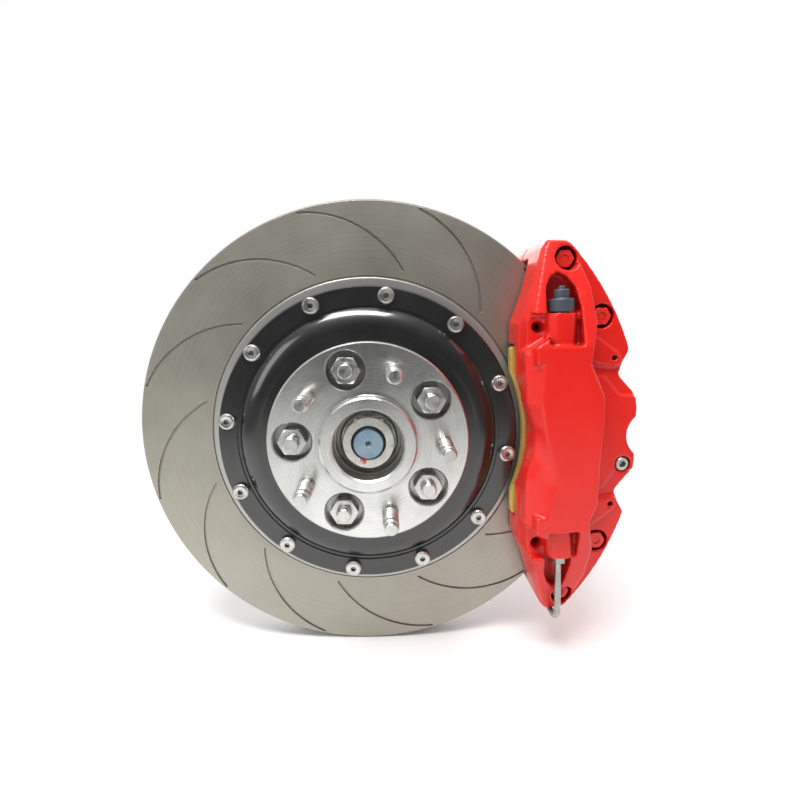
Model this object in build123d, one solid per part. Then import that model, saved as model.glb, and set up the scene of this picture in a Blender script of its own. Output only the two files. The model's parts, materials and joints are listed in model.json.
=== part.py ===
from build123d import *
from math import atan2, cos, degrees, radians, sin
import os

# Brake corner: a vented two-piece disc and its hub, and a fixed six-piston caliper on a bracket.
# Millimetres. The origin is the centre of the wheel's seat. +X runs to the caliper, +Z up, +Y inboard.

# Disc
DISC_R = 181.0
DISC_FRONT = 31.0
DISC_BACK = 63.0
DISC_LAND = 28.5
DISC_BORE = 97.0
CHEEK = 8.5
VENT_R = 126.0
VANE_COUNT = 36
SLOT_COUNT = 12
SLOT_WIDTH = 1.8
SLOT_DEPTH = 1.6
SLOT_START = 18.5

# Hat, its bolts, the hub and the wheel spacer
HAT_R = 117.0
HAT_FLANGE_FRONT = 19.5
HAT_CROWN_FRONT = 15.0
HAT_CROWN_BACK = 22.0
HAT_BOLT_R = 110.1
HAT_BOLT_COUNT = 12
HAT_BOLT_START = 23.26
PILOT_R = 33.0
SPACER_R = 76.0
SPACER_BORE = 26.5
WHEEL_PILOT_R = 36.55
WHEEL_PILOT_FRONT = -9.0
STUD_PCD_R = 57.15
STUD_R = 6.0
STUD_SHANK_R = 6.2
HUB_STUD_R = 5.56
WHEEL_STUD_START = 71.0
HUB_STUD_START = 35.0
WHEEL_STUD_OUT = 32.6
HUB_STUD_OUT = 9.0
HUB_FLANGE_BACK = 34.0
AXLE_R = 12.3

# Bearing, housing and bracket
BALL_R = 5.5
BALL_RING_R = 37.0
BALL_ROWS = (48.0, 66.0)
BALL_COUNT = 12
HOUSING_R = 51.0
BRACKET_FRONT = 72.0
BRACKET_BACK = 84.0
KNUCKLE_PILOT_R = 45.0
SPIGOT_R = 46.0
SCREW_R = 60.0
KNUCKLE_PCD_R = 56.0

# Caliper, in its own frame: u away from the wheel's axis, v along the caliper
CLOCK = 2.7
SPLIT = 47.0
FACE = -26.0
SEAT = 11.0
RIM_R = 206.0
BRIDGE_R = 184.5
WINDOW_V = 68.0
BORE_R = 150.0
BORES = ((17.0, 14.5), (0.0, 15.5), (-17.0, 16.5))
BORE_FLOOR = -19.0
GALLERY_U = 140.5
GALLERY_Y = -12.0
BRIDGE_BOLTS = tuple((195.5, angle) for angle in (41.3, 26.5, -26.5, -41.3))
PIN_R = 192.4
PIN_ANGLE = 17.1
STAY_R = 194.7
STAY_ANGLE = -7.4
EAR_U = 93.5
EAR_V = 79.5
PIPE_END_V = -146.6
PORT = (148.0, -10.0)
PORT_R = 5.0
PORT_END = 124.0

# Pads
PLATE_BACK = 13.7
PLATE = 6.0
LINING = 10.8
SHIM = 0.8
FIT = 0.05


def facing(y):
    """Sketch plane with X across and Z up, whose extrusions run outboard."""
    return Plane(origin=(0, y, 0), x_dir=(1, 0, 0), z_dir=(0, -1, 0))


def slab(sketch, y0, y1):
    return extrude(facing(y1) * sketch, amount=y1 - y0)


def rod(radius, y0, y1, at=(0, 0)):
    return Pos(at[0], (y0 + y1) / 2, at[1]) * Rot(90, 0, 0) * Cylinder(radius, y1 - y0)


def post(radius, v0, v1, u, y):
    """Cylinder along Z."""
    return Pos(u, y, (v0 + v1) / 2) * Cylinder(radius, v1 - v0)


def polar(radius, angle):
    return (radius * cos(radians(angle)), radius * sin(radians(angle)))


def ring_points(count, start, radius):
    return [polar(radius, start + 360 / count * i) for i in range(count)]


def closed(*points):
    return make_face(Polyline(*points, close=True))


def turned(*points):
    """Ring turned about the Y axis from (radius, y) points."""
    return revolve(closed(*points), Axis.Y)


def upright(points, u, y):
    """Turned piece standing along Z, from (radius, height) points."""
    return Pos(u, y, 0) * revolve(Plane.XZ * closed(*points), Axis.Z)


def hexagon(across):
    return RegularPolygon(across / 2, 6, major_radius=False)


def hex_prism(across, front, back, at, edge=1.0):
    """Hexagon head or nut with its corners turned off on the outboard side."""
    blank = slab(hexagon(across), front, back)
    turn = turned((0, front), (across / 2, front), (across / 2 + 2 * edge, front + edge),
                  (across / 2 + 2 * edge, back), (0, back))
    return Pos(at[0], 0, at[1]) * (blank & turn)


def clocked(shape):
    return Rot(0, -CLOCK, 0) * shape


def inboard(shape):
    """The same piece on the inner half of the caliper."""
    return mirror(shape, about=Plane(origin=(0, SPLIT, 0), z_dir=(0, 1, 0)))


def save(name, shape):
    shape.label = name
    export_step(shape, f"parts/{name}.step")


def group(shapes):
    return Compound(children=[solid for shape in shapes for solid in shape.solids()])


# Disc and hat --------------------------------------------------------------

def disc_slot(index):
    start = SLOT_START + 360 / SLOT_COUNT * index
    path = ThreePointArc(polar(131.5, start), polar(159.5, start + 13), polar(178.5, start + 29))
    return SlotArc(path, SLOT_WIDTH)


def disc_vane(index):
    start = 360 / VANE_COUNT * index
    path = ThreePointArc(polar(VENT_R + 4, start), polar(154, start + 9), polar(DISC_R - 4, start + 20))
    return SlotArc(path, 4.6)


def brake_disc():
    front_cheek = turned(
        (DISC_BORE, DISC_LAND), (122.9, DISC_LAND), (123.6, DISC_LAND + 0.7), (123.6, 32.4), (125.2, 32.4),
        (125.2, DISC_FRONT), (DISC_R - 1, DISC_FRONT), (DISC_R, DISC_FRONT + 1), (DISC_R, DISC_FRONT + CHEEK),
        (VENT_R, DISC_FRONT + CHEEK), (119.5, 38), (DISC_BORE, 38))
    back_cheek = turned(
        (124.5, DISC_BACK - CHEEK), (DISC_R, DISC_BACK - CHEEK), (DISC_R, DISC_BACK - 1),
        (DISC_R - 1, DISC_BACK), (125.5, DISC_BACK), (124.5, DISC_BACK - 1))
    vanes = Sketch() + [disc_vane(i) for i in range(VANE_COUNT)]
    disc = front_cheek + back_cheek + slab(vanes, DISC_FRONT + CHEEK - 0.5, DISC_BACK - CHEEK + 0.5)
    slots = Sketch() + [disc_slot(i) for i in range(SLOT_COUNT)]
    disc -= slab(slots, DISC_FRONT - 1, DISC_FRONT + SLOT_DEPTH)
    disc -= slab(slots, DISC_BACK - SLOT_DEPTH, DISC_BACK + 1)
    for at in ring_points(HAT_BOLT_COUNT, HAT_BOLT_START, HAT_BOLT_R):
        disc -= rod(4.1, 25, 41, at)
    return disc


def disc_hat():
    crown_edge = (83.5, HAT_CROWN_FRONT)
    shoulder_end = (100.4, 20.6)
    outline = [
        Line((PILOT_R + FIT, HAT_CROWN_FRONT), crown_edge),
        ThreePointArc(crown_edge, (94.3, 16.5), shoulder_end),
        Polyline(shoulder_end, (102.8, 20.6), (102.8, HAT_FLANGE_FRONT), (HAT_R - 1, HAT_FLANGE_FRONT),
                 (HAT_R, HAT_FLANGE_FRONT + 1), (HAT_R, DISC_LAND), (DISC_BORE - 0.1, DISC_LAND),
                 (DISC_BORE - 0.1, 33), (91, 33), (86, HAT_CROWN_BACK), (PILOT_R + FIT, HAT_CROWN_BACK),
                 (PILOT_R + FIT, HAT_CROWN_FRONT)),
    ]
    hat = revolve(make_face([edge for part in outline for edge in part.edges()]), Axis.Y)
    for at in ring_points(HAT_BOLT_COUNT, HAT_BOLT_START, HAT_BOLT_R):
        hat -= rod(4.1, 14, 30, at)
    for at in ring_points(5, HUB_STUD_START, STUD_PCD_R):
        hat -= rod(STUD_R + 0.4, 14, 23, at)
    for at in ring_points(5, WHEEL_STUD_START, STUD_PCD_R):
        hat -= rod(9.5, 14, 17.4, at)
    return hat


def disc_bolt(at):
    head = turned(
        (0, 15.6), (4.6, 15.0), (5.5, 15.2), (6.3, 16.2), (6.3, HAT_FLANGE_FRONT), (0, HAT_FLANGE_FRONT))
    bolt = head + rod(4, HAT_FLANGE_FRONT - 0.5, 46) - slab(hexagon(4), 14, 18)
    return Pos(at[0], 0, at[1]) * bolt


def disc_nut(at):
    return hex_prism(13, 38, 44.5, at) - rod(4.02, 37, 46, at)


# Hub, spacer and axle ------------------------------------------------------

def wheel_hub():
    hub = turned(
        (25.2, 6), (PILOT_R - 1, 6), (PILOT_R, 7), (PILOT_R, HAT_CROWN_BACK), (70, HAT_CROWN_BACK),
        (71, 23), (71, 30), (68, HUB_FLANGE_BACK - 2), (40, HUB_FLANGE_BACK), (33, 37), (24, 37.5), (24, 79),
        (13.6, 79), (13.6, 14), (25.2, 14))
    for at in ring_points(5, HUB_STUD_START, STUD_PCD_R):
        hub -= rod(HUB_STUD_R + 0.02, 20, 36, at)
    return hub


def hub_stud(at):
    profile = turned((0, -HUB_STUD_OUT), (HUB_STUD_R - 1, -HUB_STUD_OUT), (HUB_STUD_R, 1 - HUB_STUD_OUT),
                     (HUB_STUD_R, 34.2), (9, 34.2), (9, 38), (0, 38))
    return Pos(at[0], 0, at[1]) * profile


def hub_nut(at):
    return hex_prism(19, -1.0, 9, at, edge=1.4) - rod(HUB_STUD_R + 0.02, -3, 10, at)


def wheel_spacer():
    spacer = turned(
        (SPACER_BORE, WHEEL_PILOT_FRONT + 1.5), (SPACER_BORE + 1.5, WHEEL_PILOT_FRONT),
        (WHEEL_PILOT_R - 1.5, WHEEL_PILOT_FRONT), (WHEEL_PILOT_R, WHEEL_PILOT_FRONT + 1.5), (WHEEL_PILOT_R, -0.5),
        (WHEEL_PILOT_R + 0.5, 0), (SPACER_R - 1, 0), (SPACER_R, 1), (SPACER_R, 14), (SPACER_R - 1, 15),
        (PILOT_R + 0.1, 15), (PILOT_R + 0.1, 5), (SPACER_BORE, 5))
    for at in ring_points(5, HUB_STUD_START, STUD_PCD_R):
        spacer -= rod(14.6, -1, 9, at) + rod(STUD_R + 0.4, 8, 16, at)
        spacer -= Pos(at[0], 0, at[1]) * turned((0, -0.1), (15.6, -0.1), (14.6, 0.9), (0, 0.9))
    for at in ring_points(5, WHEEL_STUD_START, STUD_PCD_R):
        spacer -= rod(STUD_SHANK_R + 0.02, -1, 16, at) + rod(9.05, 11.5, 16, at)
    return spacer


def wheel_stud(at):
    """Wheel stud with a dog point; its pressed shank is wider than its thread."""
    profile = turned(
        (0, -WHEEL_STUD_OUT), (4.2, -WHEEL_STUD_OUT), (4.7, -31.6), (4.7, -28.5), (STUD_R, -27.2), (STUD_R, -0.3),
        (STUD_SHANK_R, -0.1), (STUD_SHANK_R, 11.6), (9, 11.6), (9, 16.8), (0, 16.8))
    return Pos(at[0], 0, at[1]) * profile


def axle_stub():
    return turned(
        (0, 1.0), (2.6, -2.9), (AXLE_R - 1.2, -3), (AXLE_R, -1.8), (AXLE_R, 14), (13.5, 14.2), (13.5, 80),
        (19, 81), (21, 83), (21, 96), (19, 98), (0, 98))


def axle_nut():
    collar = turned((AXLE_R + 0.02, 1.0), (13.2, 0.2), (19.0, 0.2), (19.8, 1.0), (19.8, 3), (AXLE_R + 0.02, 3))
    flange = turned((AXLE_R + 0.02, 11.5), (21, 11.5), (22.5, 12.6), (22.5, 13.8), (AXLE_R + 0.02, 13.8))
    body = hex_prism(36, 2.6, 12, (0, 0), edge=2.2) - rod(AXLE_R + 0.02, 0, 14)
    return collar + body + flange


def ball_tracks(radius):
    return [Pos(0, y, 0) * Rot(90, 0, 0) * Torus(BALL_RING_R, radius) for y in BALL_ROWS]


def bearing_inner_race():
    race = turned((24.02, 38), (33, 38), (34, 39), (34, 78), (33, 79), (24.02, 79))
    for track in ball_tracks(BALL_R + 0.05):
        race -= track
    return race


def bearing_housing():
    body = turned(
        (40, 38.5), (HOUSING_R - 1.5, 38.5), (HOUSING_R, 40), (HOUSING_R, 60), (66, 60), (67, 61), (67, 71),
        (66, BRACKET_FRONT), (SPIGOT_R, BRACKET_FRONT), (SPIGOT_R, BRACKET_BACK), (KNUCKLE_PILOT_R, BRACKET_BACK),
        (KNUCKLE_PILOT_R, 91), (KNUCKLE_PILOT_R - 1, 92), (40, 92))
    for track in ball_tracks(BALL_R + 0.05):
        body -= track
    for at in ring_points(4, 45, KNUCKLE_PCD_R):
        body -= rod(6.2, 59, 73, at)
    for at in ring_points(2, 0, SCREW_R):
        body -= rod(3.02, 59, 73, clocked_point(at))
    return body


def clocked_point(at):
    radius = (at[0] ** 2 + at[1] ** 2) ** 0.5
    return polar(radius, degrees(atan2(at[1], at[0])) + CLOCK)


def bearing_seal():
    return turned((34.3, 40.0), (39.97, 40.0), (39.97, 42.0), (36.5, 42.0), (34.3, 41.4))


def bearing_cap():
    return turned((21.6, 86), (39.97, 86), (39.97, 90), (36, 90), (30, 88), (21.6, 88))


def caliper_bracket():
    upper = ((-6, 66), (86, 91.5), (99, 91.5), (106, 85), (105, 77), (80, 44), (76, 20))
    arms = closed(*upper, *[(u, -v) for u, v in reversed(upper)])
    plate = Circle(67) + fillet(arms.vertices(), 5)
    window = closed((60, 42), (80, 62), (76, 72), (52, 64))
    lower = mirror(window, about=Plane.XZ)
    plate -= Circle(SPIGOT_R + 0.05)
    bracket = slab(plate, BRACKET_FRONT, BRACKET_BACK)
    for hole in (window, lower):
        bracket -= slab(fillet(hole.vertices(), 4), BRACKET_FRONT - 1, BRACKET_BACK + 1)
    for v in (EAR_V, -EAR_V):
        bracket -= rod(6.03, BRACKET_FRONT - 1, BRACKET_BACK + 1, (EAR_U, v))
    for at in ring_points(2, 0, SCREW_R):
        bracket -= rod(3.2, BRACKET_FRONT - 1, BRACKET_BACK + 1, at) + rod(5.7, 79, BRACKET_BACK + 1, at)
    bracket = clocked(bracket)
    for at in ring_points(4, 45, KNUCKLE_PCD_R):
        bracket -= rod(6.2, BRACKET_FRONT - 1, BRACKET_BACK + 1, at)
    return bracket


def bracket_screw(at):
    screw = rod(3, 61, 80, at) + rod(5.4, 79.2, 83.6, at)
    return clocked(screw - slab(Pos(*at) * hexagon(4), 81, 85))


# Caliper halves ------------------------------------------------------------

def half_outline():
    """Silhouette of a half: scalloped hub side, notched and lobed rim side, flat tips."""
    top = (151.3, 139.8)
    low = (151.3, -139.8)
    shoulder_top = polar(RIM_R, 17.6)
    shoulder_low = polar(RIM_R, -18.2)
    lobe = 202.5
    edges = [
        ThreePointArc(top, polar(RIM_R, 30), shoulder_top),
        Polyline(shoulder_top, polar(199, 15.6), polar(194, 13.4), polar(194.5, 12.4), polar(lobe, 8.6)),
        ThreePointArc(polar(lobe, 8.6), polar(lobe + 0.8, 6), polar(lobe, 3.2)),
        ThreePointArc(polar(lobe, 3.2), polar(195.5, -0.8), polar(lobe, -4.8)),
        ThreePointArc(polar(lobe, -4.8), polar(lobe + 0.8, -7), polar(lobe, -9.2)),
        Polyline(polar(lobe, -9.2), polar(194.5, -13.2), polar(194, -14.2), polar(199, -16.2), shoulder_low),
        ThreePointArc(shoulder_low, polar(RIM_R, -30), low),
        Polyline(low, (147.5, -142), (134, -142.6), (130, -137), (121, -104), (113, -84), (113, -40)),
        ThreePointArc((113, -40), (122, 4), (113, 47)),
        Polyline((113, 47), (113, 84), (121, 104), (130, 137), (134, 142.6), (147.5, 142), top),
    ]
    outline = make_face([edge for part in edges for edge in part.edges()])
    notches = [p for p in outline.vertices() if 7 < abs(degrees(atan2(p.Y, p.X))) < 19 and p.X > 180]
    return fillet([p for p in notches if (p.X ** 2 + p.Y ** 2) ** 0.5 > 201 or abs(p.Y) > 54], 3)


def piston_block():
    """Raised block over the three bores: upright walls, then facets up to the flat face."""
    base = closed(
        (119, 74), (113.5, 64), (115, 28), (121.5, 6), (119.5, -13), (114.5, -29), (113.5, -64), (118, -74),
        (158, -74), (168, -50), (169, -17), (171, 12), (171, 33), (161.5, 57), (159, 74))
    face = closed(
        (132.8, 68.7), (125.4, 56), (123.5, 28.2), (126.5, 5), (132.2, -17), (134.8, -30.6), (126.4, -62),
        (128.5, -67), (154.5, -68.2), (164.3, -47.2), (165, -17), (167.4, 12), (167.2, 32), (157, 54.7),
        (154.3, 67.8))
    knee = -15.0
    return slab(base, knee, 1) + loft([facing(knee) * base, facing(FACE) * face], ruled=True)


def ramp(side):
    """Tapered end falling from the block's face to the shelf at the tip."""
    outline = closed(
        (113.6, 50), (114.4, 88), (122.6, 113), (130.6, 136.4), (134.4, 141.8), (147.2, 141.2), (151, 139.0),
        (155, 130), (164, 109), (168, 84), (163, 50))
    blank = extrude(facing(0.5) * outline, amount=0.5 - FACE, taper=13)
    wedge = closed((40, 1), (40, FACE), (67.5, FACE), (139, -2.4), (150, -2.4), (150, 1))
    cutter = extrude(Plane(origin=(100, 0, 0), x_dir=(0, 0, 1), z_dir=(1, 0, 0)) * mirror_y(wedge), amount=80)
    piece = blank & cutter
    return piece if side > 0 else mirror(piece, about=Plane.XY)


def mirror_y(sketch):
    """Turns a sketch drawn as (v, y) over, for a plane whose second axis runs outboard."""
    return mirror(sketch, about=Plane.XZ)


def bleed_window():
    points = ((129, 60), (128.8, 92), (129.6, 108), (133, 116), (138.5, 119.5), (144.5, 116.5), (150.5, 108),
              (153, 93), (153, 60))
    sketch = closed(*points)
    corners = [vertex for vertex in sketch.vertices() if vertex.Y > 100]
    return fillet(corners, 3)


def pipe_recess():
    """Narrow recess behind the pipe, open only on the hub side of it."""
    sketch = closed((129, -60), (128.6, -92), (130, -106), (133, -114), (137, -118.8), (143.6, -118.2),
                    (146, -112), (148.6, -98), (148.6, -91), (152.2, -90.9), (152.2, -60))
    return fillet([vertex for vertex in sketch.vertices() if vertex.Y < -99], 2)


def end_boss(side):
    """Boss that a port opens from, along the caliper."""
    reach = 91.0
    sketch = closed((129.4, 60), (129.4, reach), (151.6, reach), (151.6, 60))
    boss = slab(sketch, -20.2, 1)
    crest = post(11.1, 60, reach, GALLERY_U, GALLERY_Y + 1.6)
    boss = boss & (crest + slab(closed((129.4, 60), (129.4, reach), (151.6, reach), (151.6, 60)), GALLERY_Y, 1))
    return boss if side > 0 else mirror(boss, about=Plane.XY)


def dimple(side):
    at = (124.5, 81.5 * side)
    cone = turned((0, -14), (6.5, -14), (2, -4), (2, 2), (0, 2))
    return Pos(at[0], 0, at[1]) * cone


def caliper_half():
    outline = half_outline()
    middle = Pos(150, 0) * Rectangle(200, 2 * WINDOW_V)
    ends = outline - middle
    rim = ends - Circle(BRIDGE_R)
    half = slab(outline, 0, SEAT) + slab(ends, 0, 28.5) + slab(rim, 0, SPLIT)
    half += piston_block() + ramp(1) + ramp(-1)

    # Raised pads round the pin holes, and the plate under the centre lobes
    for side in (1, -1):
        lug = closed((158, 70 * side), (168, 74 * side), (186.5, 60.5 * side), (189.6, 54 * side),
                     (186, 50.4 * side), (176, 51.5 * side), (160, 56 * side))
        half += slab(lug & outline, -3.2, 0.5)
    plate = closed((160, 43), (177, 43), (189, 28.5), (204, 27), (204, -30), (187, -29), (177, -45), (160, -45))
    half += slab(plate & outline, -2.4, 0.5)

    # Recess beside each boss, with its conical dimple, then the window and the bosses
    for side in (1, -1):
        recess = closed((108, 66 * side), (115.5, 66 * side), (128.9, 73.6 * side), (128.9, 91 * side),
                        (108, 91 * side))
        half -= slab(recess, FACE - 1, -10.5)
        window = bleed_window() if side > 0 else pipe_recess()
        half -= slab(window & Pos(140, 95 * side) * Rectangle(60, 54), FACE - 1, -1.8)
        half += end_boss(side)
        half -= dimple(side)

    # Bores with their seal and boot grooves, and the gallery that joins them
    for angle, radius in BORES:
        at = polar(BORE_R, angle)
        half -= rod(radius, BORE_FLOOR, SEAT + 1, at)
        half -= rod(radius + 2.2, 1.5, 5.0, at) + rod(radius + 2.6, 7.2, SEAT + 1, at)
    half -= post(2, -90, 84, GALLERY_U, GALLERY_Y)
    half -= post(5.03, 76.6, 92, GALLERY_U, GALLERY_Y) + post(5.03, -92, -76.6, GALLERY_U, GALLERY_Y)

    # Bridge bolts and pad pins
    for spot in BRIDGE_BOLTS:
        half -= rod(5.15, -10, SPLIT + 1, polar(*spot)) + rod(8.8, FACE, 8.5, polar(*spot))
    for side in (1, -1):
        half -= rod(3.05, 2, SPLIT + 1, polar(PIN_R, PIN_ANGLE * side))
    return half


def outer_half():
    half = caliper_half()
    for side in (1, -1):
        half -= rod(2.1, -10, 4, polar(PIN_R, PIN_ANGLE * side))
    stay = polar(STAY_R, STAY_ANGLE)
    half -= rod(3.1, -5, SEAT + 1, stay) + rod(6.0, -5, 4, stay)
    return clocked(half)


def inner_half():
    half = inboard(caliper_half())
    seat_back = 2 * SPLIT
    for side in (1, -1):
        ear = closed((82, 71 * side), (83, 86 * side), (95, 92 * side), (128, 98 * side), (128, 56 * side),
                     (104, 58 * side))
        half += slab(fillet([p for p in ear.vertices() if p.X < 120], 6), BRACKET_BACK, 102)
        half -= rod(6.4, 80, 110, (EAR_U, EAR_V * side)) + rod(13.4, 97, 130, (EAR_U, EAR_V * side))
        half -= rod(3.05, 60, seat_back + 6, polar(PIN_R, PIN_ANGLE * side))
    for spot in BRIDGE_BOLTS:
        half += rod(8.8, seat_back - 8, seat_back + 2, polar(*spot)) - rod(5.15, 60, 88, polar(*spot))
    stay = polar(STAY_R, STAY_ANGLE)
    half -= rod(3.02, seat_back - SEAT - 1, seat_back + 6, stay)
    half += rod(9.5, 114, PORT_END, PORT)
    half -= rod(PORT_R, 115, PORT_END + 1, PORT) + rod(2, 110, 116, PORT)
    return clocked(half)


# Pieces in the caliper -----------------------------------------------------

def pad_outline(inner_r, outer_r, inner_u, half_length, corner):
    """Ring segment with its inner corners cut straight at inner_u."""
    blank = Circle(outer_r) - Circle(inner_r)
    blank &= Pos((inner_u + outer_r) / 2, 0) * Rectangle(outer_r - inner_u, 2 * half_length)
    keep = blank.faces().sort_by(Axis.X)[-1]
    return fillet(Sketch(keep.wrapped).vertices(), corner)


def pad_plate():
    plate = pad_outline(120.3, 182, 110.6, 66.5, 3)
    for side in (1, -1):
        at = polar(PIN_R, PIN_ANGLE * side)
        ear = closed(polar(172, 13.2 * side), polar(198.6, 15.2 * side), polar(198.6, 19.0 * side),
                     polar(172, 21.5 * side))
        plate += fillet([p for p in ear.vertices() if p.X ** 2 + p.Y ** 2 > 190 ** 2], 3)
        plate -= Pos(*at) * Circle(3.6)
    return clocked(slab(plate, PLATE_BACK, PLATE_BACK + PLATE))


def pad_lining():
    lining = pad_outline(125.5, 180.5, 113.5, 65, 4)
    block = slab(lining, PLATE_BACK + PLATE, PLATE_BACK + PLATE + LINING)
    face = PLATE_BACK + PLATE + LINING
    block -= slab(Pos(150, 0) * Rectangle(80, 3), face - 7, face + 1)
    for side in (1, -1):
        wedge = closed((0, 0), (9, 0), (9, -4))
        start = Plane(origin=(100, face, side * 57.0), x_dir=(0, 0, side), z_dir=(side, 0, 0))
        block -= extrude(start * wedge, amount=90 * side)
    return clocked(block)


def pad_shim():
    shim = pad_outline(122.5, 179, 114.5, 63, 4)
    return clocked(slab(shim, PLATE_BACK - SHIM, PLATE_BACK))


def piston(angle, radius):
    outer = radius - FIT
    back = PLATE_BACK - SHIM
    body = turned((0, -14), (outer - 1, -14), (outer, -13), (outer, back - 1), (outer - 1, back),
                  (outer - 4, back), (outer - 4, -6), (0, -6))
    at = polar(BORE_R, angle)
    return clocked(Pos(at[0], 0, at[1]) * body)


def bore_ring(angle, radius, y0, y1, deep):
    at = polar(BORE_R, angle)
    ring = turned((radius - FIT + 0.03, y0), (radius + deep, y0), (radius + deep, y1), (radius - FIT + 0.03, y1))
    return clocked(Pos(at[0], 0, at[1]) * ring)


def bridge_bolt(spot):
    at = polar(*spot)
    washer = Pos(at[0], 0, at[1]) * turned((0, 6.2), (7.2, 6.2), (7.9, 7.0), (7.9, 8.5), (0, 8.5))
    bolt = hex_prism(12, 0.4, 7, at) + washer + rod(5, 8, 2 * SPLIT - 9, at)
    return clocked(bolt - rod(3.0, -1, 1.1, at))


def pad_pin(side):
    at = polar(PIN_R, PIN_ANGLE * side)
    pin = rod(3, 2.3, 2 * SPLIT + 6.5, at)
    pin -= Pos(at[0], 2 * SPLIT + 4.2, at[1]) * Cylinder(0.9, 12)
    return clocked(pin)


def pin_clip(side):
    """Wire clip: one leg through the pin, the other sprung along it."""
    at = polar(PIN_R, PIN_ANGLE * side)
    y = 2 * SPLIT + 4.2
    leg = Pos(at[0], y, at[1] + 1.5 * side) * Cylinder(0.8, 13)
    back = Pos(at[0] + 4.6, y, at[1] + 1.5 * side) * Cylinder(0.8, 13)
    bend = Pos(at[0] + 2.3, y, at[1] + 8 * side) * Rot(0, 90, 0) * Cylinder(0.8, 4.6)
    return clocked(leg + back + bend)


def pad_spring():
    """Sheet spring over the pads, arched along the disc's edge and held under the pins."""
    strip = Circle(188.8) - Circle(188.0)
    wide = closed((0, 0), polar(260, 20.3), (260, 0), polar(260, -20.3))
    sheet = slab(strip & wide, 24, 70)
    slot = closed((0, 0), polar(260, 12), (260, 0), polar(260, -12))
    sheet -= slab(slot, 38, 56)
    return clocked(sheet)


def centre_stay():
    at = polar(STAY_R, STAY_ANGLE)
    return clocked(rod(5.5, SEAT, 2 * SPLIT - SEAT, at) - rod(3.1, 0, 2 * SPLIT, at))


def stay_screw():
    at = polar(STAY_R, STAY_ANGLE)
    head = Pos(at[0], 0, at[1]) * turned((0, -1.6), (4.4, -1.6), (5.3, -0.7), (5.3, 4), (0, 4))
    screw = head + rod(3, 3.5, 2 * SPLIT - 2, at) - slab(Pos(*at) * hexagon(5), -3, 1.6)
    return clocked(screw)


def bleed_screw():
    hexagonal = extrude(Plane.XY * Pos(0, 0, 91.4) * hexagon(10), amount=6)
    body = upright([(0, 77), (1.8, 77), (3.4, 80.6), (5, 80.6), (5, 90), (4.2, 90), (4.2, 97.4), (3.3, 98.4),
                    (2.7, 99.4), (2.7, 101), (3.4, 102), (3.0, 105.4), (0, 105.4)], 0, 0)
    body += hexagonal
    body -= Pos(0, 0, 96) * Cylinder(0.9, 24)
    return clocked(Pos(GALLERY_U, GALLERY_Y, 0) * body)


def bleed_cap():
    shell = [(7.2, 91.9), (8.3, 91.9), (8.75, 92.5), (8.75, 99.8), (8.2, 100.8), (5.6, 100.8), (5.25, 101.4),
             (5.25, 106.4), (4.7, 107.2), (2.6, 107.2), (2.4, 108.8), (1.6, 109.6), (0, 109.6), (0, 106.2),
             (3.7, 106.2), (3.7, 98.8), (7.2, 98.8)]
    return clocked(upright(shell, GALLERY_U, GALLERY_Y))


def pipe_path():
    """Steel pipe from the outer half's lower port, round the disc's edge, to the inner half."""
    y0 = GALLERY_Y
    y1 = 2 * SPLIT - GALLERY_Y
    return FilletPolyline((GALLERY_U, y0, -93), (GALLERY_U, y0, PIPE_END_V), (GALLERY_U, y1, PIPE_END_V),
                          (GALLERY_U, y1, -93), radius=11)


def crossover_pipe():
    path = pipe_path()
    section = Plane(origin=path @ 0, z_dir=path % 0) * Circle(2.4)
    return clocked(sweep(section, path=path))


def pipe_nut(inner):
    nut = upright([(2.43, -79.5), (5, -79.5), (5, -91), (2.43, -91)], 0, 0)
    nut += extrude(Pos(0, 0, -91) * (hexagon(11) - Circle(2.43)), amount=-5)
    nut = Pos(GALLERY_U, GALLERY_Y, 0) * nut
    return clocked(inboard(nut) if inner else nut)


def bracket_bolt(side):
    at = (EAR_U, EAR_V * side)
    head = mirror(hex_prism(18, -107, -99, at), about=Plane.XZ)
    return clocked(head + rod(6, BRACKET_FRONT + 1, 100, at))


def bracket_washer(side):
    at = (EAR_U, EAR_V * side)
    return clocked(rod(12, 97, 99, at) - rod(6.2, 96, 100, at))


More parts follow.
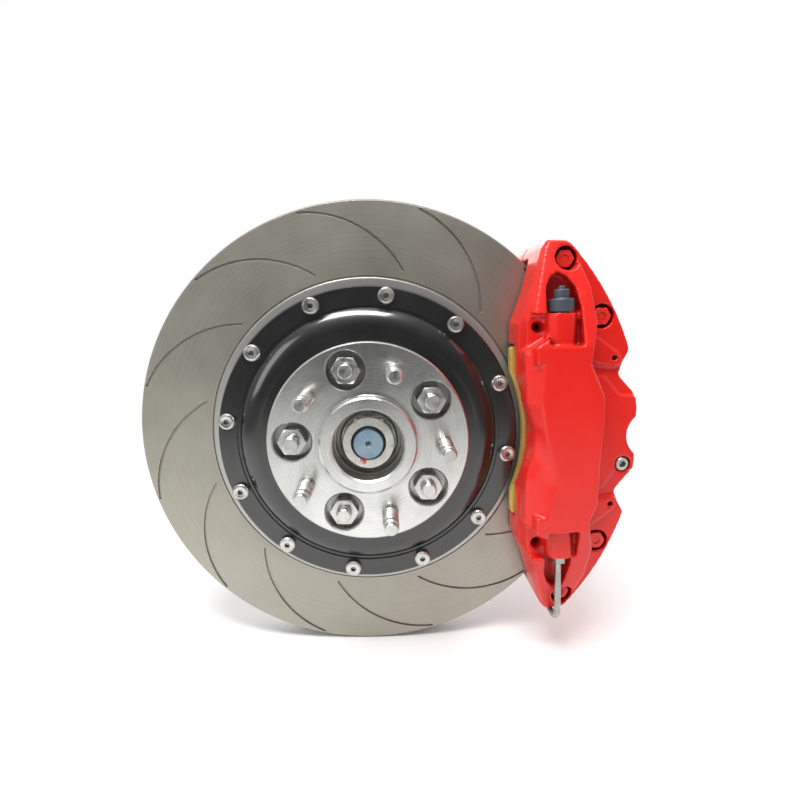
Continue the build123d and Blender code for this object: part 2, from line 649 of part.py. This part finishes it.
def main():
    os.makedirs("parts", exist_ok=True)
    hat_spots = ring_points(HAT_BOLT_COUNT, HAT_BOLT_START, HAT_BOLT_R)
    hub_spots = ring_points(5, HUB_STUD_START, STUD_PCD_R)
    wheel_spots = ring_points(5, WHEEL_STUD_START, STUD_PCD_R)

    save("brake_disc", brake_disc())
    save("disc_hat", disc_hat())
    save("disc_bolts", group([disc_bolt(at) for at in hat_spots]))
    save("disc_bolt_nuts", group([disc_nut(at) for at in hat_spots]))
    save("wheel_hub", wheel_hub())
    save("hub_studs", group([hub_stud(at) for at in hub_spots]))
    save("hub_stud_nuts", group([hub_nut(at) for at in hub_spots]))
    save("wheel_spacer", wheel_spacer())
    save("wheel_studs", group([wheel_stud(at) for at in wheel_spots]))
    save("axle_stub", axle_stub())
    save("axle_nut", axle_nut())
    save("bearing_inner_race", bearing_inner_race())

    balls = [Pos(at[0], y, at[1]) * Sphere(BALL_R)
             for y in BALL_ROWS for at in ring_points(BALL_COUNT, 0, BALL_RING_R)]
    save("bearing_housing", bearing_housing())
    save("bearing_balls", group(balls))
    save("bearing_seal", bearing_seal())
    save("bearing_cap", bearing_cap())
    save("caliper_bracket", caliper_bracket())
    save("bracket_screws", group([bracket_screw(at) for at in ring_points(2, 0, SCREW_R)]))
    save("bracket_bolts", group([bracket_bolt(side) for side in (1, -1)]))
    save("bracket_washers", group([bracket_washer(side) for side in (1, -1)]))

    save("caliper_outer_half", outer_half())
    save("caliper_inner_half", inner_half())
    save("bridge_bolts", group([bridge_bolt(spot) for spot in BRIDGE_BOLTS]))
    save("pad_pins", group([pad_pin(side) for side in (1, -1)]))
    save("pin_clips", group([pin_clip(side) for side in (1, -1)]))
    save("pad_spring", pad_spring())
    save("centre_stay", centre_stay())
    save("stay_screw", stay_screw())
    save("crossover_pipe", crossover_pipe())
    save("pipe_nuts", group([pipe_nut(False), pipe_nut(True)]))

    seals = [bore_ring(angle, radius, 1.55, 4.95, 2.15) for angle, radius in BORES]
    boots = [bore_ring(angle, radius, 7.25, 10.6, 2.55) for angle, radius in BORES]
    save("piston_seals", group(seals + [inboard(seal) for seal in seals]))
    save("dust_boots", group(boots + [inboard(boot) for boot in boots]))

    for side, place in (("outer", lambda shape: shape), ("inner", inboard)):
        save(f"{side}_pad_plate", place(pad_plate()))
        save(f"{side}_pad_lining", place(pad_lining()))
        save(f"{side}_pad_shim", place(pad_shim()))
        save(f"{side}_bleed_screw", place(bleed_screw()))
        save(f"{side}_bleed_cap", place(bleed_cap()))
        for number, (angle, radius) in enumerate(BORES, 1):
            save(f"{side}_piston_{number}", place(piston(angle, radius)))


main()
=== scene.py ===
import json
from math import cos, pi, radians, sin

import bmesh
import bpy
from mathutils import Matrix, Vector


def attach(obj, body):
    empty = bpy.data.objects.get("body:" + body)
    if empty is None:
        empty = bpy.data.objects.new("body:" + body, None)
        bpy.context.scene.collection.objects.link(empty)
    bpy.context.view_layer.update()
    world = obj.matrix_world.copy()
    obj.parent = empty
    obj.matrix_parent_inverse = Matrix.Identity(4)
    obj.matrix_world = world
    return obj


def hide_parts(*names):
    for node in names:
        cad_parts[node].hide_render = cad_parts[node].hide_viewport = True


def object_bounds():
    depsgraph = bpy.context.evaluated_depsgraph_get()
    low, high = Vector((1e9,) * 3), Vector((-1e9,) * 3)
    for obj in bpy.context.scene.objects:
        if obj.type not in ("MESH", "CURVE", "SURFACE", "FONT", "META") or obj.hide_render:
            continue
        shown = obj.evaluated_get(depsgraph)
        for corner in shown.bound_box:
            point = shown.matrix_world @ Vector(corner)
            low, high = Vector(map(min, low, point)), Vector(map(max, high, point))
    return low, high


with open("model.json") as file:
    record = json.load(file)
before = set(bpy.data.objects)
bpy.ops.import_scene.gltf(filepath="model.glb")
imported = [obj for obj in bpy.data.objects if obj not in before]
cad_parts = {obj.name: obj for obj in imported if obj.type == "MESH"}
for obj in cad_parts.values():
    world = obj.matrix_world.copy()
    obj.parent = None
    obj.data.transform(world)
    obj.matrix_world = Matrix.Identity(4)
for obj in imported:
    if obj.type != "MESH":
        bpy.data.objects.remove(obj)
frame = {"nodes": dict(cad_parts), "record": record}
cad_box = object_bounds()

MM = 0.001
STUD_CIRCLE_R = 57.15
AXLE_R = 0.0123
FRICTION_FACE_R = 0.124
THREAD_PITCH = 1.5
THREAD_ROWS_PER_TURN = 8
SHAFT_SIDES = 36
FLOOR_REACH = 6.0
FLOOR_FADE = (0.45, 1.3)
LIGHT_AIM = (0.02, 0.03, 0.0)
CAMERA_PLACE = (0.0097, -0.3674, 0.0943)
CAMERA_AZIMUTH = radians(-2.13)
CAMERA_ELEVATION = radians(9.47)
CAMERA_ROLL = radians(0.46)
CAMERA_LENS = 22.66
NODES = frame["nodes"]
SLOT_OF = {row["node"]: row["material_slot"] for row in frame["record"]["subparts"]}
BODIES = frame["record"]["behaviour"]["bodies"]
BODY_OF = {node: body for body, nodes in BODIES.items() for node in nodes}


# Shader helpers -------------------------------------------------------------

class Shader:
    """A material under construction, with the few node patterns that the materials share."""

    def __init__(self, name, **sockets):
        self.material = bpy.data.materials.new(name)
        self.material.use_nodes = True
        self.nodes = self.material.node_tree.nodes
        self.links = self.material.node_tree.links
        self.bsdf = self.nodes["Principled BSDF"]
        for label, value in sockets.items():
            self.bsdf.inputs[label.replace("_", " ")].default_value = value
        self.coords = self.nodes.new("ShaderNodeTexCoord").outputs["Object"]
        self.normal = None

    def node(self, kind, inputs=None, **settings):
        made = self.nodes.new(kind)
        for key, value in settings.items():
            setattr(made, key, value)
        for key, value in (inputs or {}).items():
            if isinstance(value, bpy.types.NodeSocket):
                self.links.new(value, made.inputs[key])
            else:
                made.inputs[key].default_value = value
        return made

    def math(self, operation, a, b=0.0):
        return self.node("ShaderNodeMath", {0: a, 1: b}, operation=operation).outputs[0]

    def noise(self, scale, detail=4.0, roughness=0.55):
        inputs = {"Vector": self.coords, "Scale": scale, "Detail": detail, "Roughness": roughness}
        return self.node("ShaderNodeTexNoise", inputs).outputs["Fac"]

    def ring_noise(self, scale, centre=(0, 0), detail=3.0):
        """Noise that only changes with the distance from an axis along Y, as turning leaves."""
        inputs = {"W": self.radius(centre), "Scale": scale, "Detail": detail}
        return self.node("ShaderNodeTexNoise", inputs, noise_dimensions="1D").outputs["Fac"]

    def radius(self, centre=(0, 0)):
        """Distance from an axis along Y that passes through this (x, z)."""
        kind = "ShaderNodeVectorMath"
        flat = self.node(kind, {0: self.coords, 1: (1, 0, 1)}, operation="MULTIPLY").outputs[0]
        axis = (centre[0], 0, centre[1])
        moved = self.node(kind, {0: flat, 1: axis}, operation="SUBTRACT").outputs[0]
        return self.node(kind, {0: moved}, operation="LENGTH").outputs["Value"]

    def band(self, value, low, high):
        """0 below low, 1 above high, smooth between."""
        inputs = {"Value": value, "From Min": low, "From Max": high}
        return self.node("ShaderNodeMapRange", inputs, interpolation_type="SMOOTHSTEP").outputs["Result"]

    def spread(self, value, low, high, start=0.3, end=0.7):
        inputs = {"Value": value, "From Min": start, "From Max": end, "To Min": low, "To Max": high}
        return self.node("ShaderNodeMapRange", inputs).outputs["Result"]

    def mix(self, factor, a, b):
        mixed = self.node("ShaderNodeMix", data_type="RGBA")
        for index, value in ((0, factor), (6, a), (7, b)):
            if isinstance(value, bpy.types.NodeSocket):
                self.links.new(value, mixed.inputs[index])
            elif index:
                mixed.inputs[index].default_value = (*value, 1)
            else:
                mixed.inputs[index].default_value = value
        return mixed.outputs[2]

    def painted_shade(self, reach):
        """0 in the open, towards 1 in corners and holes: the mask for painted shade where shadow falls."""
        openness = self.node("ShaderNodeAmbientOcclusion", {"Distance": reach}, samples=6).outputs["AO"]
        return self.math("SUBTRACT", 1.0, self.band(openness, 0.2, 0.85))

    def color(self, value):
        self.links.new(value, self.bsdf.inputs["Base Color"])

    def rough(self, value):
        self.links.new(value, self.bsdf.inputs["Roughness"])

    def bump(self, height, depth, strength=1.0):
        """Adds relief of this depth in metres over what is there already."""
        inputs = {"Height": height, "Distance": depth, "Strength": strength}
        if self.normal is not None:
            inputs["Normal"] = self.normal
        self.normal = self.node("ShaderNodeBump", inputs).outputs["Normal"]
        self.links.new(self.normal, self.bsdf.inputs["Normal"])

    def round_edges(self, size):
        self.normal = self.node("ShaderNodeBevel", {"Radius": size}, samples=4).outputs["Normal"]
        self.links.new(self.normal, self.bsdf.inputs["Normal"])


# Materials ------------------------------------------------------------------

def disc_iron():
    """Ground friction faces with faint rings; the bore land and edges are duller."""
    s = Shader("disc_iron", Metallic=0.85)
    s.round_edges(0.35 * MM)
    rings = s.ring_noise(900)
    fine = s.ring_noise(5200)
    clouds = s.noise(14, 3)
    tone = s.mix(s.spread(clouds, 0, 1), (0.315, 0.30, 0.255), (0.41, 0.39, 0.335))
    tone = s.mix(s.spread(rings, 0, 0.35), tone, (0.50, 0.48, 0.43))
    friction_face = s.band(s.radius(), FRICTION_FACE_R - 0.1 * MM, FRICTION_FACE_R + 0.3 * MM)
    s.color(s.mix(friction_face, (0.5, 0.49, 0.47), tone))
    s.rough(s.math("ADD", s.spread(fine, 0.36, 0.48), s.spread(clouds, -0.03, 0.04)))
    s.bump(fine, 0.02 * MM, 0.5)
    s.bump(s.noise(2600, 2), 0.015 * MM, 0.5)
    return s.material


def hat_black():
    """Glossy black coating over a turned surface."""
    s = Shader("hat_black", Metallic=0.0, Coat_Weight=1.0, Coat_Roughness=0.12, Coat_IOR=1.6, IOR=1.4)
    s.round_edges(0.5 * MM)
    grain = s.noise(1900, 3)
    clouds = s.noise(22, 4)
    s.color(s.mix(s.spread(clouds, 0, 1), (0.006, 0.006, 0.006), (0.013, 0.013, 0.013)))
    s.rough(s.spread(clouds, 0.3, 0.42))
    s.bump(grain, 0.03 * MM, 0.5)
    return s.material


def plated_steel(name="plated_steel", low=(0.50, 0.50, 0.48), high=(0.72, 0.72, 0.69), dull=0.2, rough=0.4):
    """Bright metal with cloudy and speckled wear, and painted shade darkening its corners."""
    s = Shader(name, Metallic=1.0)
    s.round_edges(0.25 * MM)
    clouds = s.noise(120, 4)
    specks = s.noise(900, 5, 0.7)
    tone = s.mix(s.spread(clouds, 0, 1), low, high)
    # Painted shade: corners and holes darkened towards near-black by the occlusion mask.
    s.color(s.mix(s.math("MULTIPLY", s.painted_shade(4 * MM), 0.7), tone, (0.10, 0.10, 0.09)))
    s.rough(s.math("ADD", s.spread(clouds, dull, rough), s.spread(specks, -0.04, 0.06)))
    s.bump(specks, 0.02 * MM, 0.5)
    return s.material


def spacer_aluminium():
    """Bright face turned on a lathe: fine rings, with a sheen that follows them, and painted shade in its
    counterbores.
    """
    s = Shader("spacer_aluminium", Metallic=1.0, Anisotropic=0.55)
    s.round_edges(0.4 * MM)
    tangent = s.node("ShaderNodeTangent", direction_type="RADIAL", axis="Y").outputs["Tangent"]
    s.links.new(tangent, s.bsdf.inputs["Tangent"])
    rings = s.ring_noise(1400)
    fine = s.ring_noise(6000)
    clouds = s.noise(35, 4)
    tone = s.mix(s.spread(rings, 0, 1), (0.58, 0.58, 0.56), (0.80, 0.80, 0.78))
    tone = s.mix(s.spread(clouds, 0, 0.4), tone, (0.50, 0.50, 0.48))
    # Painted shade: counterbores and corners darkened towards near-black by the occlusion mask.
    s.color(s.mix(s.math("MULTIPLY", s.painted_shade(7 * MM), 0.75), tone, (0.12, 0.12, 0.11)))
    s.rough(s.math("ADD", s.spread(fine, 0.22, 0.34), s.spread(clouds, -0.04, 0.05)))
    s.bump(rings, 0.02 * MM, 0.5)
    return s.material


def red_mark(s, tone):
    """A dab of red marking paint over the edge of the axle and the face of its nut."""
    smear = s.noise(300, 4)
    reach = s.math("ADD", s.radius((-0.0038, -0.0125)), s.spread(smear, -0.0016, 0.0016))
    height = s.node("ShaderNodeSeparateXYZ", {"Vector": s.coords}).outputs["Y"]
    on_face = s.math("SUBTRACT", 1.0, s.band(height, 0.0012, 0.0022))
    dab = s.math("MULTIPLY", on_face, s.math("SUBTRACT", 1.0, s.band(reach, 0.0022, 0.0034)))
    return s.mix(s.math("MULTIPLY", dab, 0.85), tone, (0.52, 0.03, 0.035))


def axle_end():
    """Stub axle whose end face is painted a faded blue, darker round the edge."""
    s = Shader("axle_end", Metallic=0.55)
    s.round_edges(0.3 * MM)
    height = s.node("ShaderNodeSeparateXYZ", {"Vector": s.coords}).outputs["Y"]
    smear = s.noise(260, 4)
    on_end = s.math("SUBTRACT", 1.0, s.band(height, 0.0012, 0.0022))
    steel = s.mix(s.spread(smear, 0, 1), (0.36, 0.37, 0.36), (0.5, 0.5, 0.48))
    paint = s.mix(s.spread(s.noise(70, 2), 0, 1), (0.14, 0.26, 0.38), (0.30, 0.40, 0.48))
    tone = s.mix(s.math("MULTIPLY", on_end, s.spread(smear, 0.75, 0.95)), steel, paint)
    rim = s.math("MULTIPLY", on_end, s.band(s.radius(), AXLE_R - 1.7 * MM, AXLE_R - 1.0 * MM))
    tone = s.mix(rim, tone, (0.02, 0.035, 0.05))
    s.color(red_mark(s, tone))
    s.rough(s.spread(smear, 0.3, 0.5))
    s.bump(s.ring_noise(2500), 0.03 * MM, 0.6)
    return s.material


def axle_nut_face():
    """Plated nut that shares the axle's red mark."""
    s = Shader("axle_nut_face", Metallic=1.0)
    s.round_edges(0.3 * MM)
    clouds = s.noise(120, 4)
    specks = s.noise(900, 5, 0.7)
    s.color(red_mark(s, s.mix(s.spread(clouds, 0, 1), (0.50, 0.50, 0.46), (0.70, 0.70, 0.66))))
    s.rough(s.spread(specks, 0.22, 0.42))
    s.bump(specks, 0.02 * MM, 0.5)
    return s.material


def caliper_paint(name, low, high):
    """Thick glossy red paint over a cast surface, with painted shade in its recesses."""
    s = Shader(name, Metallic=0.0, Coat_Weight=0.25, Coat_Roughness=0.14, IOR=1.4)
    cast = s.noise(210, 5, 0.6)
    peel = s.noise(620, 2)
    clouds = s.noise(16, 4)
    tone = s.mix(s.spread(clouds, 0, 1), low, high)
    # Painted shade: recesses and counterbores darkened to deep red by the occlusion mask.
    s.color(s.mix(s.math("MULTIPLY", s.painted_shade(9 * MM), 0.8), tone, (0.16, 0.004, 0.003)))
    s.rough(s.spread(cast, 0.3, 0.42))
    s.bump(cast, 0.10 * MM, 0.45)
    s.bump(peel, 0.04 * MM, 0.4)
    return s.material


def coated(name, low, high, rough, bump=0.05, scale=500, metallic=0.0, edge=0.3):
    """Plain mottled surface for castings, rubber and friction material."""
    s = Shader(name, Metallic=metallic)
    s.round_edges(edge * MM)
    grain = s.noise(scale, 5, 0.65)
    clouds = s.noise(40, 4)
    tone = s.mix(s.spread(clouds, 0, 1), low, high)
    s.color(s.mix(s.spread(grain, 0, 0.3), tone, tuple(min(1, c * 1.5) for c in high)))
    s.rough(s.spread(grain, rough - 0.07, rough + 0.07))
    s.bump(grain, bump * MM, 0.6)
    return s.material


def pad_plate_yellow():
    """Yellow passivated steel, iridescent in patches."""
    s = Shader("pad_plate_yellow", Metallic=0.6)
    s.round_edges(0.3 * MM)
    clouds = s.noise(60, 4)
    specks = s.noise(700, 4)
    tone = s.mix(s.spread(clouds, 0, 1), (0.78, 0.52, 0.09), (0.90, 0.70, 0.22))
    s.color(s.mix(s.spread(specks, 0, 0.3), tone, (0.62, 0.52, 0.2)))
    s.rough(s.spread(specks, 0.3, 0.48))
    s.bump(specks, 0.03 * MM, 0.5)
    return s.material


def make_materials():
    return {
        "disc_iron": disc_iron(),
        "hat_black": hat_black(),
        "plated_steel": plated_steel(),
        "spacer_aluminium": spacer_aluminium(),
        "hub_steel": coated("hub_steel", (0.30, 0.295, 0.26), (0.42, 0.41, 0.37), 0.42, metallic=0.85),
        "bearing_steel": plated_steel("bearing_steel", (0.6, 0.6, 0.62), (0.7, 0.7, 0.72), 0.1, 0.2),
        "seal_rubber": coated("seal_rubber", (0.012, 0.012, 0.012), (0.025, 0.025, 0.025), 0.6),
        "bracket_aluminium": coated(
            "bracket_aluminium", (0.45, 0.46, 0.47), (0.6, 0.6, 0.61), 0.42, metallic=0.9),
        "caliper_red": caliper_paint("caliper_red", (0.70, 0.012, 0.008), (0.80, 0.018, 0.011)),
        "bolt_red": caliper_paint("bolt_red", (0.70, 0.020, 0.014), (0.84, 0.035, 0.025)),
        "pipe_steel": plated_steel("pipe_steel", (0.32, 0.31, 0.29), (0.5, 0.49, 0.46), 0.3, 0.48),
        "cap_rubber": coated("cap_rubber", (0.035, 0.045, 0.058), (0.06, 0.072, 0.09), 0.5, scale=900),
        "pad_plate_yellow": pad_plate_yellow(),
        "pad_friction": coated("pad_friction", (0.03, 0.028, 0.026), (0.07, 0.065, 0.06), 0.75, 0.2, 900),
        "shim_steel": plated_steel("shim_steel", (0.35, 0.35, 0.35), (0.5, 0.5, 0.5), 0.35, 0.5),
        "piston_aluminium": plated_steel("piston_aluminium", (0.5, 0.5, 0.5), (0.66, 0.66, 0.66), 0.25, 0.4),
        "spring_steel": plated_steel("spring_steel", (0.42, 0.42, 0.42), (0.6, 0.6, 0.6), 0.25, 0.4),
    }


def dress(obj, material):
    obj.data.materials.clear()
    obj.data.materials.append(material)


# Pieces ---------------------------------------------------------------------

def add_mesh(name, mesh):
    obj = bpy.data.objects.new(name, mesh)
    bpy.context.scene.collection.objects.link(obj)
    return obj


def stand_for(obj, node, materials):
    dress(obj, materials[SLOT_OF[node]])
    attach(obj, BODY_OF[node])
    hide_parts(node)


def cast_half(node, materials):
    """The half with every edge rounded as casting and paint leave it."""
    source = NODES[node]
    half = add_mesh(node + "_cast", source.data.copy())
    remesh = half.modifiers.new("remesh", "REMESH")
    remesh.mode = "VOXEL"
    remesh.voxel_size = 1.0 * MM
    smooth = half.modifiers.new("smooth", "SMOOTH")
    smooth.factor = 0.5
    smooth.iterations = 5
    decimate = half.modifiers.new("decimate", "DECIMATE")
    decimate.ratio = 0.45
    depsgraph = bpy.context.evaluated_depsgraph_get()
    applied = bpy.data.meshes.new_from_object(half.evaluated_get(depsgraph))
    half.modifiers.clear()
    half.data = applied
    for polygon in applied.polygons:
        polygon.use_smooth = True
    stand_for(half, node, materials)


def thread_rows(sections):
    """(y, radius, thread depth) rows along a shaft; threaded stretches get several rows a turn."""
    rows = []
    for y0, r0, y1, r1, depth in sections:
        steps = max(1, round((y1 - y0) / THREAD_PITCH * THREAD_ROWS_PER_TURN)) if depth else 1
        for i in range(steps + 1):
            t = i / steps
            fade = min(1, 6 * t, 6 * (1 - t)) if depth else 0
            rows.append((y0 + (y1 - y0) * t, r0 + (r1 - r0) * t, depth * fade))
    return rows


def add_shaft(bm, centre, sections):
    """Turned shaft along Y with a real helical thread on its threaded stretches."""
    rings = []
    for y, radius, depth in thread_rows(sections):
        ring = []
        for i in range(SHAFT_SIDES):
            phase = (y / THREAD_PITCH + i / SHAFT_SIDES) % 1
            r = radius - depth * abs(2 * phase - 1)
            angle = 2 * pi * i / SHAFT_SIDES
            x, z = centre[0] + r * cos(angle), centre[1] + r * sin(angle)
            ring.append(bm.verts.new((x * MM, y * MM, z * MM)))
        rings.append(ring)
    for a, b in zip(rings, rings[1:]):
        for i in range(SHAFT_SIDES):
            j = (i + 1) % SHAFT_SIDES
            bm.faces.new((a[i], b[i], b[j], a[j]))
    bm.faces.new(rings[0])
    bm.faces.new(list(reversed(rings[-1])))


def stud_set(node, start, sections, materials):
    """Five threaded studs on the wheel's stud circle, from this angle on.

    A section is (y0, r0, y1, r1, thread depth) in millimetres.
    """
    bm = bmesh.new()
    for i in range(5):
        angle = radians(start + 72 * i)
        add_shaft(bm, (STUD_CIRCLE_R * cos(angle), STUD_CIRCLE_R * sin(angle)), sections)
    bmesh.ops.remove_doubles(bm, verts=bm.verts, dist=0.005 * MM)
    bmesh.ops.recalc_face_normals(bm, faces=bm.faces)
    mesh = bpy.data.meshes.new(node + "_threaded")
    bm.to_mesh(mesh)
    bm.free()
    obj = add_mesh(node + "_threaded", mesh)
    mesh.shade_smooth()
    mesh.set_sharp_from_angle(angle=radians(35))
    stand_for(obj, node, materials)


def build_pieces(materials):
    for node, obj in NODES.items():
        dress(obj, materials[SLOT_OF[node]])
    dress(NODES["axle_stub"], axle_end())
    dress(NODES["axle_nut"], axle_nut_face())
    for node in ("caliper_outer_half", "caliper_inner_half"):
        cast_half(node, materials)
    stud_set("wheel_studs", 71, (
        (-32.6, 4.2, -32.1, 4.7, 0), (-32.1, 4.7, -28.6, 4.7, 0), (-28.6, 4.7, -27.2, 5.9, 0),
        (-27.2, 6.0, -0.3, 6.0, 0.6), (-0.1, 6.2, 11.6, 6.2, 0), (11.6, 9.0, 16.8, 9.0, 0)), materials)
    stud_set("hub_studs", 35, (
        (-9, 4.6, -8.2, 5.4, 0), (-8.2, 5.56, 12, 5.56, 0.5), (12, 5.56, 34.2, 5.56, 0),
        (34.2, 9.0, 38, 9.0, 0)), materials)


# Stage ----------------------------------------------------------------------

def build_stage():
    """Pale floor just under the disc, which fades out into the white backdrop."""
    level = cad_box[0][2] - 0.3 * MM
    mesh = bpy.data.meshes.new("floor")
    corners = ((-1, -1), (1, -1), (1, 1), (-1, 1))
    mesh.from_pydata([(x * FLOOR_REACH, y * FLOOR_REACH, level) for x, y in corners], [], [(0, 1, 2, 3)])
    floor = add_mesh("floor", mesh)
    s = Shader("floor_paint", Metallic=0.0, Specular_IOR_Level=0.2)
    s.color(s.mix(s.spread(s.noise(3, 3), 0, 1), (0.90, 0.90, 0.89), (0.93, 0.93, 0.93)))
    s.rough(s.spread(s.noise(40, 3), 0.75, 0.85))
    away = s.node("ShaderNodeVectorMath", {0: s.coords}, operation="LENGTH").outputs["Value"]
    s.links.new(s.math("SUBTRACT", 1.0, s.band(away, *FLOOR_FADE)), s.bsdf.inputs["Alpha"])
    dress(floor, s.material)


def area_light(name, place, size, power):
    data = bpy.data.lights.new(name, "AREA")
    data.shape = "RECTANGLE"
    data.size, data.size_y = size
    data.energy = power
    lamp = bpy.data.objects.new(name, data)
    lamp.location = place
    lamp.rotation_mode = "QUATERNION"
    lamp.rotation_quaternion = (Vector(LIGHT_AIM) - Vector(place)).to_track_quat("-Z", "Y")
    bpy.context.scene.collection.objects.link(lamp)


def build_lights():
    area_light("overhead", (-0.15, -0.42, 1.0), (0.7, 0.35), 14)
    area_light("left_fill", (-1.1, -0.8, 0.5), (0.5, 0.8), 4)
    area_light("right_fill", (1.2, -0.5, 0.3), (0.4, 0.8), 1.0)
    area_light("back_fill", (0.2, 1.3, 0.7), (1.2, 0.8), 6)
    bpy.context.scene.view_settings.view_transform = "Standard"


def build_world():
    """White backdrop whose light falls off towards the front and below."""
    world = bpy.data.worlds.new("studio")
    bpy.context.scene.world = world
    world.use_nodes = True
    nodes, links = world.node_tree.nodes, world.node_tree.links
    way = nodes.new("ShaderNodeSeparateXYZ")
    links.new(nodes.new("ShaderNodeTexCoord").outputs["Generated"], way.inputs["Vector"])

    def ramp(value, from_min, from_max, to_min, to_max):
        made = nodes.new("ShaderNodeMapRange")
        settings = {"From Min": from_min, "From Max": from_max, "To Min": to_min, "To Max": to_max}
        for label, number in settings.items():
            if isinstance(number, bpy.types.NodeSocket):
                links.new(number, made.inputs[label])
            else:
                made.inputs[label].default_value = number
        links.new(value, made.inputs["Value"])
        return made.outputs["Result"]

    front = ramp(way.outputs["Z"], -0.3, 0.9, 0.04, 0.34)
    lit = ramp(way.outputs["Y"], -0.5, 0.4, front, 1.0)
    seen = nodes.new("ShaderNodeLightPath").outputs["Is Camera Ray"]
    links.new(ramp(seen, 0.0, 1.0, lit, 1.0), nodes["Background"].inputs["Strength"])
    nodes["Background"].inputs["Color"].default_value = (1, 1, 1, 1)


def build_camera():
    """Close wide-angle view, slightly from the left, from above and rolled by half a degree."""
    lift = cos(CAMERA_ELEVATION)
    back = Vector((sin(CAMERA_AZIMUTH) * lift, -cos(CAMERA_AZIMUTH) * lift, sin(CAMERA_ELEVATION)))
    level = Vector((cos(CAMERA_AZIMUTH), sin(CAMERA_AZIMUTH), 0))
    rise = back.cross(level)
    right = cos(CAMERA_ROLL) * level + sin(CAMERA_ROLL) * rise
    up = -sin(CAMERA_ROLL) * level + cos(CAMERA_ROLL) * rise
    data = bpy.data.cameras.new("camera")
    data.sensor_width = 36
    data.lens = CAMERA_LENS
    data.clip_start = 0.01
    camera = bpy.data.objects.new("camera", data)
    camera.matrix_world = Matrix((
        (right.x, up.x, back.x, CAMERA_PLACE[0]),
        (right.y, up.y, back.y, CAMERA_PLACE[1]),
        (right.z, up.z, back.z, CAMERA_PLACE[2]),
        (0, 0, 0, 1)))
    bpy.context.scene.collection.objects.link(camera)
    bpy.context.scene.camera = camera


build_camera()
build_lights()
build_world()
build_stage()
build_pieces(make_materials())
